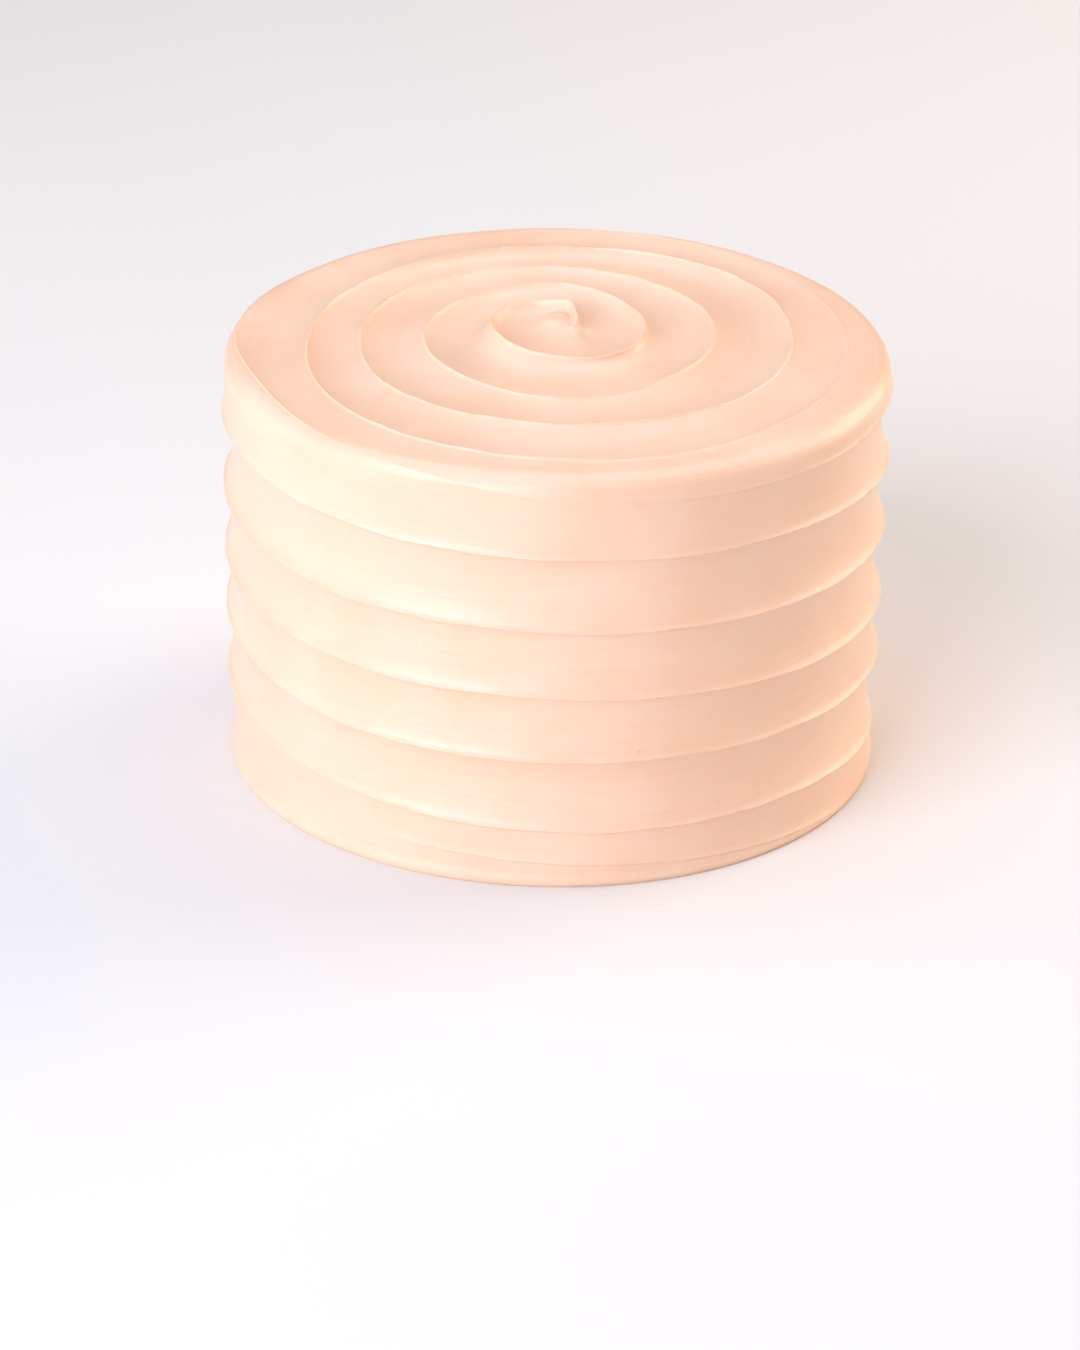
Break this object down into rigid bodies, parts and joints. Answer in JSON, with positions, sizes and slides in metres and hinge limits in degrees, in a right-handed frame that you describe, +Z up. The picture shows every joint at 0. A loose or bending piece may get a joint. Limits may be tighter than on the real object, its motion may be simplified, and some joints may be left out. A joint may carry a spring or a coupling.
{
  "type": "buttercream cake",
  "caption": "Round uncut cake iced in buttercream, with a spatula groove that winds up its side and in over its top to a small curled peak.",
  "frame": {"origin": "middle of the flat base, on the surface that the cake stands on", "axes": "+Z up, -Y towards the front that the picture shows, +X to that view's right"},
  "size_m": [0.1585, 0.1585, 0.107],
  "materials": {
    "peach_buttercream": "smooth satin buttercream, pale peach"
  },
  "bodies": {
    "root": {"cake": "peach_buttercream"}
  },
  "joints": []
}
